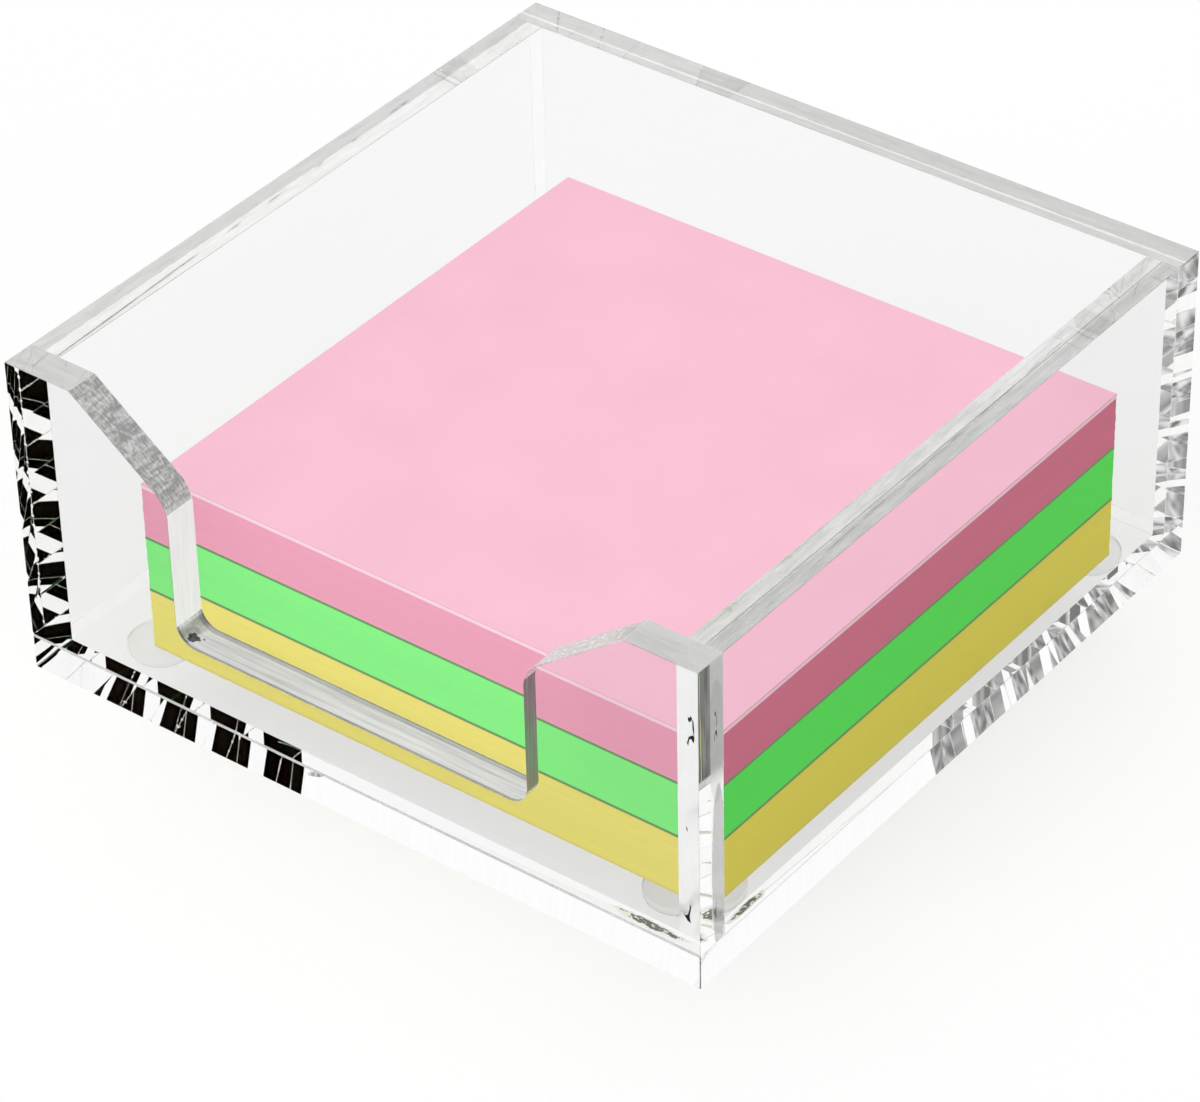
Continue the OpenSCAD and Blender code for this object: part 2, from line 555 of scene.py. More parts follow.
def marked_tone(tree, where, mask, tones, spots):
    """A grey between two tones, darker where the spots lie."""
    tone = add_node(tree, "ShaderNodeMix", data_type="RGBA")
    tone.inputs["A"].default_value = grey(tones[0])
    tone.inputs["B"].default_value = grey(tones[1])
    tree.links.new(mask, tone.inputs["Factor"])
    shade = tone.outputs["Result"]
    for middle, halves, ragged, keeps, part in spots:
        spot = ragged_spot(tree, where.outputs["Object"], middle, halves, ragged)
        darker = add_node(tree, "ShaderNodeMix", data_type="RGBA", blend_type="MULTIPLY")
        darker.inputs["B"].default_value = grey(keeps)
        tree.links.new(spot.outputs[part], darker.inputs["Factor"])
        tree.links.new(shade, darker.inputs["A"])
        shade = darker.outputs["Result"]
    return shade


def crown_height(tree, where, axis, middle, rise):
    """Falls off with the square of the distance from the middle of the sheet's thickness."""
    parts = add_node(tree, "ShaderNodeSeparateXYZ")
    tree.links.new(where.outputs["Object"], parts.inputs[0])
    out = work_out(tree, "ABSOLUTE", parts.outputs[axis])
    off = work_out(tree, "SUBTRACT", out, middle)
    squared = work_out(tree, "MULTIPLY", off, off)
    return work_out(tree, "MULTIPLY", squared, -rise)


# %% A marked finish
def marked_acrylic(name, squeeze, clear, tones, blurs, depth, lines, ripple,
                   index=ACRYLIC_INDEX, crown=None, turn=0.0, spots=(), cross=None):
    """Clear plastic with cut marks, whose depth is in millimetres.

    The first of a pair of tones or blurs is for shallow marks, the second for deep ones.
    A crown is the axis across the sheet, the middle of its thickness and a radius.
    """
    material, tree, output = new_material(name)
    where = add_node(tree, "ShaderNodeTexCoord")
    marks = place_marks(tree, where, squeeze, turn)
    marks.inputs["Lines"].default_value = lines
    marks.inputs["Ripple"].default_value = ripple
    mask = marks.outputs["Mask"]
    if cross:
        second = place_marks(tree, where, cross)
        both = work_out(tree, "ADD", mask, second.outputs["Mask"])
        mask = stretch(tree, both, CROSSED_SPAN)
    height = marks.outputs["Height"]
    if crown:
        axis, middle, radius = crown
        rise = 1 / (2 * radius * depth * MM)
        height = work_out(tree, "ADD", height, crown_height(tree, where, axis, middle, rise))
    bump = add_node(tree, "ShaderNodeBump")
    bump.inputs["Strength"].default_value = 1.0
    bump.inputs["Distance"].default_value = depth * MM
    tree.links.new(height, bump.inputs["Height"])

    glass = clear_plastic(tree, clear, index)
    blur = stretch(tree, marks.outputs["Mask"], (0.0, 1.0), blurs)
    tree.links.new(marked_tone(tree, where, mask, tones, spots), glass.inputs["Base Color"])
    tree.links.new(blur, glass.inputs["Roughness"])
    tree.links.new(bump.outputs[0], glass.inputs["Normal"])
    let_light_through(tree, glass.outputs[0], output, SOFT_TINT)
    return material


# %% [markdown]
# ## Faces, broken edges and seams
# The cast faces have no lines, only a light grey tint and a ripple that hardly shows.
# Where a maker has scraped the sharp edges off, the narrow bevels are a little
# blurred. A bevel along a joint holds dried solvent, so it is whiter and blurs more.

# %% Faces, broken edges and seams
EVEN = (1.0, 1.0, 1.0)

cast_face = marked_acrylic(
    "acrylic_face", squeeze=EVEN, clear=1.0, tones=(0.935, 0.935), blurs=(0.0, 0.0),
    depth=0.01, lines=0.0, ripple=0.06,
)
arris = marked_acrylic(
    "acrylic_arris", squeeze=EVEN, clear=0.92, tones=(0.9, 0.97), blurs=(0.05, 0.1),
    depth=0.01, lines=0.3, ripple=0.5,
)
seam = marked_acrylic(
    "acrylic_seam", squeeze=EVEN, clear=0.6, tones=(0.95, 1.0), blurs=(0.05, 0.3),
    depth=0.01, lines=1.0, ripple=0.5,
)
print("finishes:", cast_face.name, arris.name, seam.name)

# %% [markdown]
# ## Sawn and flamed edges
# The edges are as clear as the faces, and their lines and crown break the cells up.
# On the side and front sheets the lines run along the edge, and on the base sheet
# they stand upright. The right end of the front sheet has two darker strips, one above
# the other, as the photo shows.

# %% Sawn and flamed edges
ALONG = 0.15
EDGE_LINES = [(1.0, ALONG, ALONG), (ALONG, 1.0, ALONG), (1.0, 1.0, ALONG)]
CROWN_RADII = [50.0 * MM, 50.0 * MM, 62.5 * MM]

base_low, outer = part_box("base_plate")
inner = Vector((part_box("right_wall")[0].x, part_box("back_wall")[0].y, outer.z))
THICKNESS_MIDDLES = [
    (inner.x + outer.x) / 2,
    (inner.y + outer.y) / 2,
    (base_low.z + outer.z) / 2,
]
DARKER_STRIPS = [
    mark((47.5, -44.4, 16.5), (2.0, 1.2, 11.5), ragged=0.2, keeps=0.42),
    mark((47.5, -44.7, 34.0), (2.0, 1.4, 8.0), ragged=0.2, keeps=0.75),
]


def crown_of(axis):
    return axis, THICKNESS_MIDDLES[axis], CROWN_RADII[axis]


edges = []
for axis, spots in enumerate([(), DARKER_STRIPS, ()]):
    edges.append(marked_acrylic(
        "acrylic_edge_" + "xyz"[axis], squeeze=EDGE_LINES[axis], clear=1.0,
        tones=(0.96, 1.0), blurs=(0.0, 0.0), depth=0.012, lines=0.01, ripple=0.3,
        crown=crown_of(axis), spots=spots,
    ))
print("edges:", [edge.name for edge in edges])

# %% [markdown]
# ## A joint that stayed dry
# In the photo the near corner's joint shines white from top to bottom and has black
# cracks in it. So the solvent didn't reach it, and its two faces still mirror like open
# ones. This finish is partly clear and partly white, and the white share is a painted
# reflection that stands in for that shine. Its cracks are the threads of three spots
# down the corner.

# %% Dry joint
CRACKS = [
    mark((44.9, -43.5, 34.4), (0.5, ENDLESS, 2.2), ragged=0.8, keeps=0.03, part="Cracks"),
    mark((44.8, -43.5, 22.4), (0.6, ENDLESS, 1.6), ragged=0.8, keeps=0.03, part="Cracks"),
    mark((44.6, -43.5, 10.0), (0.8, ENDLESS, 1.2), ragged=0.8, keeps=0.03, part="Cracks"),
]
# The white share of this finish is a painted reflection.
dry = marked_acrylic(
    "dry_cement_painted_sheen", squeeze=(1.0, 1.0, 0.4), clear=0.6, tones=(0.95, 1.0), blurs=(0.05, 0.2),
    depth=0.01, lines=0.6, ripple=1.0, spots=CRACKS,
)
print("cracks:", len(CRACKS))

# %% [markdown]
# ## The routed cut-out
# The cut-out is routed, and its five stretches came out unlike each other. The left
# shoulder is the roughest, with two crossing sets of marks. The left upright is pale and
# fine, and the right one turns away into the dark: its very dark tone is painted shade.
# One finish all round would be simpler, but the stretches differ in marks, blur and tone.
# The lines on the shoulders follow the slope, so their coordinates are turned by its angle.
# The sill's grey tone is painted shade, for the shadowed table seen through it. It has a
# burn at its left end, and painted shade in a grey strip with a darker line in it along its
# back edge and in a dark line along its front edge.

# %% Finishes of the cut-out
SHOULDER_RUN = 13.3
SHOULDER_DROP = 10.0
SLOPE = math.atan2(SHOULDER_DROP, SHOULDER_RUN)

shoulder = marked_acrylic(
    "routed_shoulder", squeeze=(0.3, 2.6, 1.0), clear=0.35, tones=(0.42, 0.98),
    blurs=(0.3, 0.5), depth=0.02, lines=1.0, ripple=1.0, turn=-SLOPE, cross=(1.2, 0.25, 1.2),
)
upright = marked_acrylic(
    "routed_upright", squeeze=(1.0, 1.0, 0.08), clear=0.6, tones=(0.84, 0.96),
    blurs=(0.1, 0.2), depth=0.006, lines=1.0, ripple=1.0,
)
far_shoulder = marked_acrylic(
    "buffed_shoulder", squeeze=(0.15, 1.6, 2.0), clear=0.5, tones=(0.5, 0.84),
    blurs=(0.1, 0.3), depth=0.01, lines=1.0, ripple=1.0, turn=SLOPE,
)
# The right upright's very dark tone is painted shade.
far_upright = marked_acrylic(
    "matt_upright_shaded", squeeze=(1.0, 1.6, 0.08), clear=0.25, tones=(0.05, 0.30),
    blurs=(0.3, 0.5), depth=0.01, lines=1.0, ripple=1.0,
)
SILL_BURN_AND_SHADE = [
    mark((-23.3, -46.4, 16.2), (0.8, 0.6, 0.8), ragged=2.4, keeps=0.06),
    # Painted shade: the grey strip, its darker line and the front line.
    mark((0.0, -43.5, 16.0), (ENDLESS, 0.8, ENDLESS), ragged=0.1, keeps=0.62),
    mark((0.0, -43.5, 16.0), (ENDLESS, 0.2, ENDLESS), ragged=0.1, keeps=0.5),
    mark((0.0, -47.8, 16.0), (ENDLESS, 0.35, ENDLESS), ragged=0.1, keeps=0.4),
]
# Its grey tones are painted shade for the shadowed table seen through the sill.
sill = marked_acrylic(
    "routed_sill_shaded", squeeze=(0.05, 1.2, 0.6), clear=0.55, tones=(0.45, 0.80),
    blurs=(0.1, 0.2), depth=0.008, lines=1.0, ripple=1.0, spots=SILL_BURN_AND_SHADE,
)
print("the cut-out's shoulders slope at", round(math.degrees(SLOPE), 1), "degrees")


# %% [markdown]
# ## Buffed rims with painted shade
# The rims are buffed smooth. In the photo the front one is an even grey, and the others
# are paler with grey strips along them. That grey is the shadowed table under the box,
# seen through the rim. The acrylic's own refraction gives such strips only in part, so
# darker tones and masked strips paint the rest in as shade, near the widths and tones of
# the photo.

# %% Buffed rims with painted shade
STRIP_LEVEL = 40.0


def painted_shade_strip(axis, place, half, keeps):
    """A strip of painted shade along a rim, at a place across its thickness, in millimetres."""
    middle = [0.0, 0.0, STRIP_LEVEL]
    halves = [ENDLESS, ENDLESS, ENDLESS]
    middle[axis] = place
    halves[axis] = half
    return mark(middle, halves, ragged=0.25, keeps=keeps)


def buffed_rim_with_shade(name, axis, tones, strips):
    lines_run = [ALONG, ALONG, ALONG]
    lines_run[axis] = 1.0
    return marked_acrylic(
        name, squeeze=lines_run, clear=0.97, tones=tones, blurs=(0.02, 0.05),
        depth=0.012, lines=0.06, ripple=0.6, crown=crown_of(axis), spots=strips,
    )


rims = {
    # Each rim's tones and strips are painted shade.
    "front_wall": buffed_rim_with_shade("front_rim_painted_shade", 1, (0.44, 0.54), []),
    "left_wall": buffed_rim_with_shade("left_rim_painted_shade", 0, (0.80, 1.0), [painted_shade_strip(0, -46.7, 1.3, 0.60)]),
    "right_wall": buffed_rim_with_shade("right_rim_painted_shade", 0, (0.58, 0.86), [
        painted_shade_strip(0, 46.7, 1.2, 0.62), painted_shade_strip(0, 45.3, 0.12, 0.5),
    ]),
    "back_wall": buffed_rim_with_shade("back_rim_painted_shade", 1, (0.80, 1.0), [
        painted_shade_strip(1, 46.6, 1.5, 0.60), painted_shade_strip(1, 43.9, 0.8, 0.66),
    ]),
}
print(len(rims), "rims")


# %% [markdown]
# ## Welded joints
# The other joints took the solvent, which melts two faces into one, so a ray passes them
# unbent. Leaving the faces out would make the sheets open shells, so they are fully
# see-through instead. Only near the joint's borders does the solvent leave strings of
# tiny white bubbles, more at the outer border than at the inner one. The mask is a narrow
# strip inside the box's outer and inner outlines, broken up by noise. Beside the near
# corner two pockets of air are shut in: dark, with white flecks and a white edge.

# %% Bubbles along a joint's borders
BORDER = 0.4 * MM
AT_BORDER = (0.1, -0.3)
INNER_STEEPNESS = 2.0
INNER_SETBACK = 0.45 * BORDER
BUBBLES_PER_M = 2.4 / MM
BUBBLE_LEVEL = 0.66

weld, tree, output = new_material("acrylic_weld")
where = add_node(tree, "ShaderNodeTexCoord")
parts = add_node(tree, "ShaderNodeSeparateXYZ")
tree.links.new(where.outputs["Object"], parts.inputs[0])
across = [work_out(tree, "ABSOLUTE", parts.outputs[axis]) for axis in range(2)]
to_outer = [work_out(tree, "SUBTRACT", outer[axis], across[axis]) for axis in range(2)]
to_inner = [work_out(tree, "SUBTRACT", across[axis], inner[axis]) for axis in range(2)]
from_outer = work_out(tree, "MINIMUM", *to_outer)
from_inner = work_out(tree, "MAXIMUM", *to_inner)
sparser = work_out(tree, "MULTIPLY_ADD", from_inner, INNER_STEEPNESS, INNER_SETBACK)
away = work_out(tree, "MINIMUM", from_outer, sparser)
nearness = stretch(tree, away, (0.0, BORDER), AT_BORDER)
speckle = noise(tree, where.outputs["Object"], BUBBLES_PER_M, detail=0.0)
raised = work_out(tree, "ADD", speckle, nearness)
bubbles = work_out(tree, "GREATER_THAN", raised, BUBBLE_LEVEL)
print("bubbles lie within", BORDER / MM, "mm of a joint's border")

# %% Air pockets and the weld's finish
POCKETS = [
    ((40.2, -45.5, 6.8), (4.6, 1.2, ENDLESS)),
    ((45.2, -38.3, 6.8), (1.2, 3.4, ENDLESS)),
]
POCKET_RAGGED = 1.2
POCKET_TONE = 0.2
FLECKS_PER_M = 1.7 / MM
FLECK_LEVEL = 0.56
FROTH_ROUGHNESS = 0.6

fine_grain = noise(tree, where.outputs["Object"], FLECKS_PER_M, detail=3.0)
flecks = work_out(tree, "GREATER_THAN", fine_grain, FLECK_LEVEL)
white = work_out(tree, "MAXIMUM", bubbles, flecks)
mask = bubbles
for middle, halves in POCKETS:
    pocket = ragged_spot(tree, where.outputs["Object"], middle, halves, POCKET_RAGGED)
    mask = work_out(tree, "MAXIMUM", mask, pocket.outputs["Mask"])
    ring = work_out(tree, "SUBTRACT", pocket.outputs["Mask"], pocket.outputs["Core"])
    white = work_out(tree, "MAXIMUM", white, ring)
froth_tone = add_node(tree, "ShaderNodeMix", data_type="RGBA")
froth_tone.inputs["A"].default_value = grey(POCKET_TONE)
froth_tone.inputs["B"].default_value = grey(1.0)
tree.links.new(white, froth_tone.inputs["Factor"])
froth = add_node(tree, "ShaderNodeBsdfPrincipled")
froth.inputs["Roughness"].default_value = FROTH_ROUGHNESS
froth.inputs["IOR"].default_value = ACRYLIC_INDEX
tree.links.new(froth_tone.outputs["Result"], froth.inputs["Base Color"])
tree.links.new(mask, froth.inputs["Alpha"])
let_light_through(tree, froth.outputs[0], output, 1.0)
print(len(POCKETS), "air pockets")

# %% [markdown]
# ## The five sheets
# Each sheet starts as a block, or for the front as a routed outline that is pushed
# through its thickness. A boolean could cut the front sheet, but an outline leaves cleaner
# faces. A sheet that runs past its neighbours is cut where they end, so that every face is
# wholly in a joint or wholly in the open, and can have one finish. Sheets that touch stand a
# fiftieth of a millimetre apart, or their faces would lie in the same place.

# %% Finishes of a sheet, in the order of its material slots
(FACE, EDGE, WELD, ARRIS, SEAM, RIM, DRY,
 SHOULDER, UPRIGHT, FAR_SHOULDER, FAR_UPRIGHT, SILL) = range(12)
APART = 0.02 * MM
SHEETS = {
    "base_plate": "base_sheet",
    "front_wall": "front_sheet",
    "back_wall": "back_sheet",
    "left_wall": "left_sheet",
    "right_wall": "right_sheet",
}
print("sheets:", list(SHEETS.values()))

# %% The front sheet's outline
RIM_HALF = 38.0 * MM
CUT_HALF = 24.7 * MM
SHOULDER_Z = 34.7 * MM
SILL_Z = 16.1 * MM
SHOULDER_RADIUS = 4.0 * MM
SHOULDER_SEGMENTS = 10
CORNER_RADIUS = 2.5 * MM
CORNER_SEGMENTS = 16


def routed_front(low, high):
    """The front sheet with its thumb cut-out. Rounded corners are bevelled points."""
    corners = [
        (low.x, low.z), (high.x, low.z), (high.x, high.z), (RIM_HALF, high.z),
        (CUT_HALF, SHOULDER_Z), (CUT_HALF, SILL_Z), (-CUT_HALF, SILL_Z),
        (-CUT_HALF, SHOULDER_Z), (-RIM_HALF, high.z), (low.x, high.z),
    ]
    bm = bmesh.new()
    points = [bm.verts.new((x, low.y, z)) for x, z in corners]
    bm.faces.new(points)
    shoulders = [points[4], points[7]]
    turn = math.atan2(RIM_HALF - CUT_HALF, high.z - SHOULDER_Z)
    bmesh.ops.bevel(bm, geom=shoulders, offset=SHOULDER_RADIUS * math.tan(turn / 2),
                    segments=SHOULDER_SEGMENTS, profile=0.5, affect="VERTICES", material=-1)
    lower = [v for v in bm.verts if abs(v.co.z - SILL_Z) < TINY and abs(v.co.x) < RIM_HALF]
    bmesh.ops.bevel(bm, geom=lower, offset=CORNER_RADIUS,
                    segments=CORNER_SEGMENTS, profile=0.5, affect="VERTICES", material=-1)
    made = bmesh.ops.extrude_face_region(bm, geom=list(bm.faces))
    pushed = [item for item in made["geom"] if isinstance(item, bmesh.types.BMVert)]
    bmesh.ops.translate(bm, vec=(0, high.y - low.y, 0), verts=pushed)
    bmesh.ops.recalc_face_normals(bm, faces=bm.faces)
    return bm


# %% [markdown]
# ## Which face has which finish
# Painting the finishes on by hand would have to be done again whenever a size changes.
# So each face is asked where it is: against a neighbour, on a broad side of the sheet,
# on the rim, or in the cut-out.

# %% Which face is what
STRAIGHT_ACROSS = 0.98


def in_joint(face, node):
    """True where a neighbouring sheet lies just outside a face."""
    probe = face.calc_center_median() + face.normal * 3 * APART
    for other in SHEETS:
        low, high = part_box(other)
        if other != node and all(low[i] <= probe[i] <= high[i] for i in range(3)):
            return True
    return False


def main_axis(face):
    return max(range(3), key=lambda i: abs(face.normal[i]))


def stayed_dry(face):
    """True for the two faces of the joint between the front and the right sheet."""
    middle = face.calc_center_median()
    upright_face = main_axis(face) == 1
    return upright_face and middle.x > inner.x and abs(middle.y + inner.y) < 2 * APART


def cut_finish(face):
    middle = face.calc_center_median()
    on_left = middle.x < 0
    if abs(face.normal.x) > STRAIGHT_ACROSS:
        return UPRIGHT if on_left else FAR_UPRIGHT
    if middle.z < (SILL_Z + SHOULDER_Z) / 2:
        return SILL
    return SHOULDER if on_left else FAR_SHOULDER


def mark_faces(bm, node, thin_axis):
    bm.normal_update()
    rim_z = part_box(node)[1].z
    for face in bm.faces:
        middle = face.calc_center_median()
        open_cut = node == "front_wall" and main_axis(face) != 1
        open_cut = open_cut and abs(middle.x) < RIM_HALF
        open_cut = open_cut and outer.z + 2 * APART < middle.z < rim_z - TINY
        if in_joint(face, node):
            face.material_index = DRY if stayed_dry(face) else WELD
        elif main_axis(face) == thin_axis:
            face.material_index = FACE
        elif open_cut:
            face.material_index = cut_finish(face)
        else:
            face.material_index = RIM if middle.z > rim_z - TINY else EDGE


# %% [markdown]
# ## Broken edges
# A maker breaks a sheet's sharp edges with a scraper. A bevel modifier would bevel every
# edge alike, but inside a joint the edges stay sharp, along its outside they are barely
# touched, and along the base's front seam the bevel is wider, because it shows there as a
# line. So each kind is bevelled in its own turn. Where two bevels meet they can leave an
# edge of no length, and such edges are merged at the end.

# %% Broken edges
ARRIS_WIDTH = 0.10 * MM
FRONT_SEAM_WIDTH = 0.2 * MM
SEAM_WIDTH = ARRIS_WIDTH / 3
SHARP = math.radians(25)


def bevel_edges(bm, chosen, width, material):
    made = bmesh.ops.bevel(bm, geom=chosen, offset=width, segments=1, profile=0.5,
                           affect="EDGES", material=-1, clamp_overlap=True)
    for face in made["faces"]:
        face.material_index = material


def edge_middle(edge):
    return (edge.verts[0].co + edge.verts[1].co) / 2


def is_sharp(edge):
    return edge.calc_face_angle(0.0) > SHARP


def at_joint(edge):
    return any(face.material_index in (WELD, DRY, SEAM) for face in edge.link_faces)


def on_outside(edge):
    middle = edge_middle(edge)
    return abs(middle.x) > outer.x - TINY or abs(middle.y) > outer.y - TINY


def level_in_front(edge):
    level = abs(edge.verts[0].co.z - edge.verts[1].co.z) < TINY
    return level and edge_middle(edge).y < TINY - outer.y


def break_edges(bm):
    """Bevel the joints' outer edges, then every other sharp edge in the open."""
    seams = [edge for edge in bm.edges if is_sharp(edge) and at_joint(edge) and on_outside(edge)]
    front_seams = [edge for edge in seams if level_in_front(edge)]
    other_seams = [edge for edge in seams if edge not in front_seams]
    bevel_edges(bm, front_seams, FRONT_SEAM_WIDTH, SEAM)
    bevel_edges(bm, [edge for edge in other_seams if edge.is_valid], SEAM_WIDTH, SEAM)
    open_edges = [edge for edge in bm.edges if is_sharp(edge) and not at_joint(edge)]
    bevel_edges(bm, open_edges, ARRIS_WIDTH, ARRIS)
    bmesh.ops.dissolve_degenerate(bm, dist=TINY / 10, edges=bm.edges)


# %% Make the sheets
for node, name in SHEETS.items():
    low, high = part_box(node)
    thin_axis = min(range(3), key=lambda i: high[i] - low[i])
    if node != "base_plate":
        low.z += APART
    if thin_axis == 0:
        low.y += APART
        high.y -= APART
    bm = routed_front(low, high) if node == "front_wall" else block(low, high)
    if node == "base_plate":
        split_across(bm, 1, -inner.y)
        split_across(bm, 1, inner.y)
    if thin_axis != 0:
        split_across(bm, 0, -inner.x)
        split_across(bm, 0, inner.x)
    mark_faces(bm, node, thin_axis)
    break_edges(bm)
    rim = rims.get(node, edges[thin_axis])
    finishes = [cast_face, edges[thin_axis], weld, arris, seam, rim, dry,
                shoulder, upright, far_shoulder, far_upright, sill]
    sheet = finish_piece(name, bm, finishes, node)
    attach(sheet, "holder")

# %% [markdown]
# ## Bumpers
# Under the base stick four clear bumpers, soft domes with a flattened tip and a short
# straight skirt. A squashed sphere would miss the skirt, so half the dome's outline is
# drawn and spun about the bumper's own axis. The urethane is cloudier than the acrylic and
# blurs what is behind it. It also wets the surfaces that it touches, so it bends light
# less against them.

# %% Bumpers
SKIRT_Z = 1.6 * MM
TIP_RADIUS = 1.2 * MM
DOME_STEPS = 12
SPIN_STEPS = 64
WETTED_INDEX = 1.03
FLAT = 0.99

urethane = marked_acrylic(
    "clear_urethane", squeeze=EVEN, clear=0.8, tones=(0.98, 1.0), blurs=(0.35, 0.45),
    depth=0.01, lines=0.05, ripple=0.1, index=WETTED_INDEX,
)


def bumper(low, high):
    middle = (low + high) / 2
    radius = (high.x - low.x) / 2
    outline = [(0.0, high.z - APART), (radius, high.z - APART), (radius, SKIRT_Z)]
    for step in range(1, DOME_STEPS + 1):
        angle = math.radians(90) * step / DOME_STEPS
        reach = TIP_RADIUS + (radius - TIP_RADIUS) * math.cos(angle)
        outline.append((reach, SKIRT_Z * (1 - math.sin(angle))))
    outline.append((0.0, 0.0))
    bm = bmesh.new()
    points = [bm.verts.new((middle.x + r, middle.y, z)) for r, z in outline]
    lines = [bm.edges.new(pair) for pair in zip(points, points[1:])]
    bmesh.ops.spin(bm, geom=points + lines, cent=(middle.x, middle.y, 0), axis=(0, 0, 1),
                   angle=math.radians(360), steps=SPIN_STEPS, use_merge=True)
    bmesh.ops.remove_doubles(bm, verts=bm.verts, dist=TINY / 10)
    bmesh.ops.recalc_face_normals(bm, faces=bm.faces)
    for face in bm.faces:
        face.smooth = abs(face.normal.z) < FLAT
    return bm


for corner in ["front_left", "front_right", "back_left", "back_right"]:
    bm = bumper(*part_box("foot_" + corner))
    piece = finish_piece("bumper_" + corner, bm, [urethane], "foot_" + corner)
    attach(piece, "holder")


# %% [markdown]
# ## Paper
# Sticky notes are dyed through and quite matt. A flat colour would look like plastic.
# Close up, paper has a fine fibre, which one noise gives to its tone and its surface, and
# a second, slower noise makes the dye uneven. A pad's cut sides show the sheets as very
# fine lines. Its front and back, and more so its left and right sides, get darker and
# deeper colours than a sheet's face: painted shade for sides turned from the light. So a
# pad has a finish for its face, one for its front and back, and one for its left and
# right sides.

# %% Paper fibre group
FIBRES_PER_MM = 1.6
CLOUDS_PER_MM = 0.07
FIBRE_SHARE = 0.35
DYE_SPAN = (0.4, 1.0)

paper_fibre, start, end = new_group(
    "paper_fibre", [("Place", ARROW)], [("Tone", NUMBER), ("Height", NUMBER)]
)
fibre = noise(paper_fibre, start.outputs["Place"], FIBRES_PER_MM, detail=4.0, roughness=0.65)
cloud = noise(paper_fibre, start.outputs["Place"], CLOUDS_PER_MM, detail=2.0)
both = work_out(paper_fibre, "MULTIPLY_ADD", fibre, FIBRE_SHARE, cloud)
paper_fibre.links.new(stretch(paper_fibre, both, DYE_SPAN), end.inputs["Tone"])
paper_fibre.links.new(fibre, end.inputs["Height"])
print("paper_fibre puts out", [s.name for s in end.inputs if s.name])


# %% Paper of a colour
THIN_DYE = 0.97
THICK_DYE = 1.03
FIBRE_BUMP = 0.6
MATT = 0.85
PAPER_GLOSS = 0.1


def linear(code):
    """A screen colour, as six hex digits, in the linear values that a shader takes."""
    shares = [int(code[i:i + 2], 16) / 255 for i in (0, 2, 4)]
    return [s / 12.92 if s <= 0.04045 else ((s + 0.055) / 1.055) ** 2.4 for s in shares]


def paper(name, code, squeeze, depth):
    """Paper of a screen colour, a little uneven, with fibre or sheet lines."""
    material, tree, output = new_material(name)
    where = add_node(tree, "ShaderNodeTexCoord")
    in_mm = add_node(tree, "ShaderNodeMapping")
    in_mm.inputs["Scale"].default_value = [s / MM for s in squeeze]
    tree.links.new(where.outputs["Object"], in_mm.inputs["Vector"])
    fibres = add_node(tree, "ShaderNodeGroup", node_tree=paper_fibre)
    tree.links.new(in_mm.outputs[0], fibres.inputs["Place"])
    colour = linear(code)
    dye = add_node(tree, "ShaderNodeMix", data_type="RGBA")
    dye.inputs["A"].default_value = [THIN_DYE * c for c in colour] + [1]
    dye.inputs["B"].default_value = [min(1.0, THICK_DYE * c) for c in colour] + [1]
    tree.links.new(fibres.outputs["Tone"], dye.inputs["Factor"])
    bump = add_node(tree, "ShaderNodeBump")
    bump.inputs["Strength"].default_value = FIBRE_BUMP
    bump.inputs["Distance"].default_value = depth * MM
    tree.links.new(fibres.outputs["Height"], bump.inputs["Height"])
    matt = add_node(tree, "ShaderNodeBsdfPrincipled")
    matt.inputs["Roughness"].default_value = MATT
    matt.inputs["Specular IOR Level"].default_value = PAPER_GLOSS
    tree.links.new(dye.outputs["Result"], matt.inputs["Base Color"])
    tree.links.new(bump.outputs[0], matt.inputs["Normal"])
    tree.links.new(matt.outputs[0], output.inputs["Surface"])
    return material


# %% [markdown]
# ## The colours of the pads
# The colours are set so that the pads come out under these lamps as they do in the photo.
# The topmost sheets of the pink pad catch light from above, so the sides of its top layer
# get a paler pink, a painted highlight. The two upper pads lie on cards of a dark
# grey-green, painted shade for the thin dark lines where one pad sits on another. No such
# line shows under the yellow pad, so its card is nearly as pale as its paper.

# %% Papers and cards
SHEET_LINES = (0.05, 0.05, 4.0)
CARD_LINES = (1.0, 1.0, 4.0)
FACE_DEPTH = 0.01
SIDE_DEPTH = 0.02

papers = {}
# Front and side codes are darker than the face: painted shade.
for name, face, front, side in [
    ("pink", "FCC4D7", "F3A8C0", "DF7D96"),
    ("green", "8AF78A", "8CF88C", "60F163"),
    ("yellow", "F7EE84", "F4E880", "F0E362"),
]:
    papers[name] = [
        paper(name + "_paper", face, EVEN, FACE_DEPTH),
        paper(name + "_pad_front_shaded", front, SHEET_LINES, SIDE_DEPTH),
        paper(name + "_pad_side_shaded", side, SHEET_LINES, SIDE_DEPTH),
    ]
# A paler pink for the sides of the pink pad's top layer: a painted highlight.
papers["pink"].append(paper("pink_pad_top_highlight", "FFDCE8", SHEET_LINES, SIDE_DEPTH))
# The card's dark grey-green is painted shade between stacked pads.
backing = paper("backing_card", "78A070", CARD_LINES, SIDE_DEPTH)
bottom_backing = paper("bottom_card", "E8DC84", CARD_LINES, SIDE_DEPTH)
print("papers:", {name: len(finishes) for name, finishes in papers.items()})

# %% [markdown]
# ## Pads
# A pad is many sheets glued at the back edge. It could be one smooth block, but its sheets
# never line up exactly. So the sides are cut into layers, and each layer moves in by up to
# a twentieth of a millimetre, from a seeded random draw. The card under the lowest pad
# sits a hair above the base, or the two faces would lie in the same place.

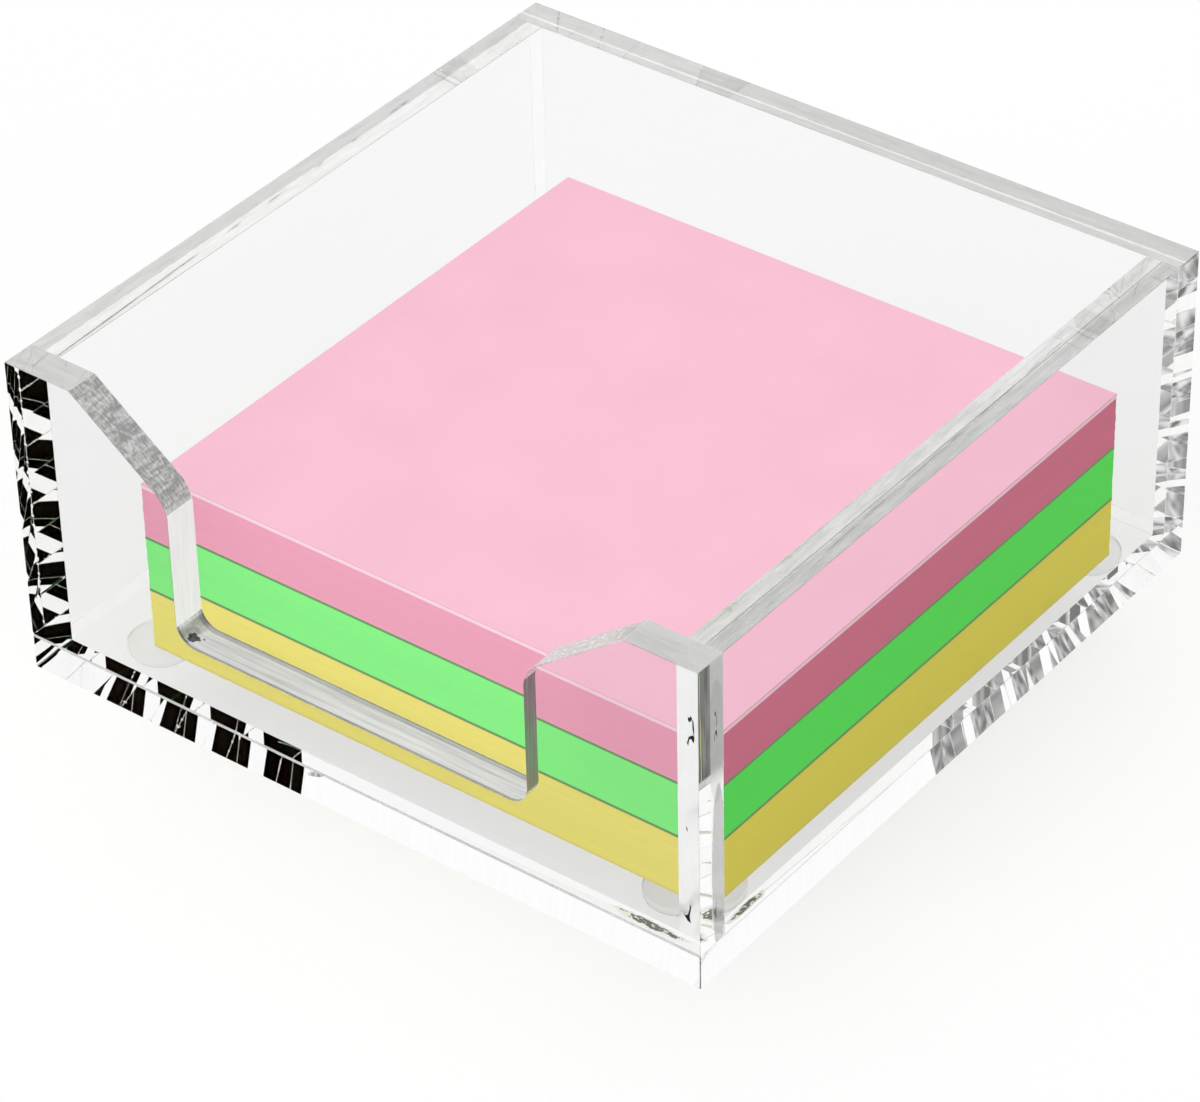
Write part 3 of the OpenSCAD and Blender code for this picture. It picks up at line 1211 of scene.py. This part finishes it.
# %% A pad's block
PAPER_FACE, PAPER_FRONT_SHADED, PAPER_SIDE_SHADED, PAPER_TOP_HIGHLIGHT = range(4)
LAYERS = 14
UNEVEN = 0.05 * MM


def mark_paper(bm):
    bm.normal_update()
    for face in bm.faces:
        # Fronts and sides take the darker colours, painted shade.
        face.material_index = (PAPER_SIDE_SHADED, PAPER_FRONT_SHADED, PAPER_FACE)[main_axis(face)]


def pad_block(low, high, draw):
    bm = block(low, high)
    middle = (low + high) / 2
    for layer in range(1, LAYERS):
        split_across(bm, 2, low.z + (high.z - low.z) * layer / LAYERS)
    levels = sorted({round(v.co.z / TINY) for v in bm.verts})
    for level in levels[1:-1]:
        inwards = draw.uniform(0, UNEVEN)
        for v in bm.verts:
            if round(v.co.z / TINY) == level:
                v.co.x -= math.copysign(inwards, v.co.x - middle.x)
                v.co.y -= math.copysign(inwards, v.co.y - middle.y)
    mark_paper(bm)
    return bm


# The sides of the top layer take the paler pink, a painted highlight.
def paint_top_highlight(bm, low, high):
    for face in bm.faces:
        in_top_layer = face.calc_center_median().z > high.z - (high.z - low.z) / LAYERS
        if in_top_layer and face.material_index != PAPER_FACE:
            face.material_index = PAPER_TOP_HIGHLIGHT


# %% Pads
AIR = 0.06 * MM
SEED = 76

draw = random.Random(SEED)
for name, body in [("yellow", "yellow_pad"), ("green", "green_pad"), ("pink", "pink_pad")]:
    low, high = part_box(name + "_backing")
    if name == "yellow":
        low.z += AIR
    card = bottom_backing if name == "yellow" else backing
    piece = finish_piece(name + "_card", block(low, high), [card],
                         name + "_backing")
    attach(piece, body)
    low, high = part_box(name + "_notes")
    bm = pad_block(low, high, draw)
    if name == "pink":
        paint_top_highlight(bm, low, high)
    piece = finish_piece(name + "_sheets", bm, papers[name], name + "_notes")
    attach(piece, body)

# %% [markdown]
# ## The top note
# The uppermost pink note peels up about its gummed back edge. It could turn there like a
# hinged board, but paper bends and has no crease. So this sheet is cut into narrow strips
# from back to front.

# %% Top note
STRIPS = 38

low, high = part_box("top_note")
bm = block(low, high)
for strip in range(1, STRIPS):
    split_across(bm, 1, low.y + (high.y - low.y) * strip / STRIPS)
mark_paper(bm)
note = finish_piece("top_note_sheet", bm, papers["pink"], "top_note")
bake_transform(note)
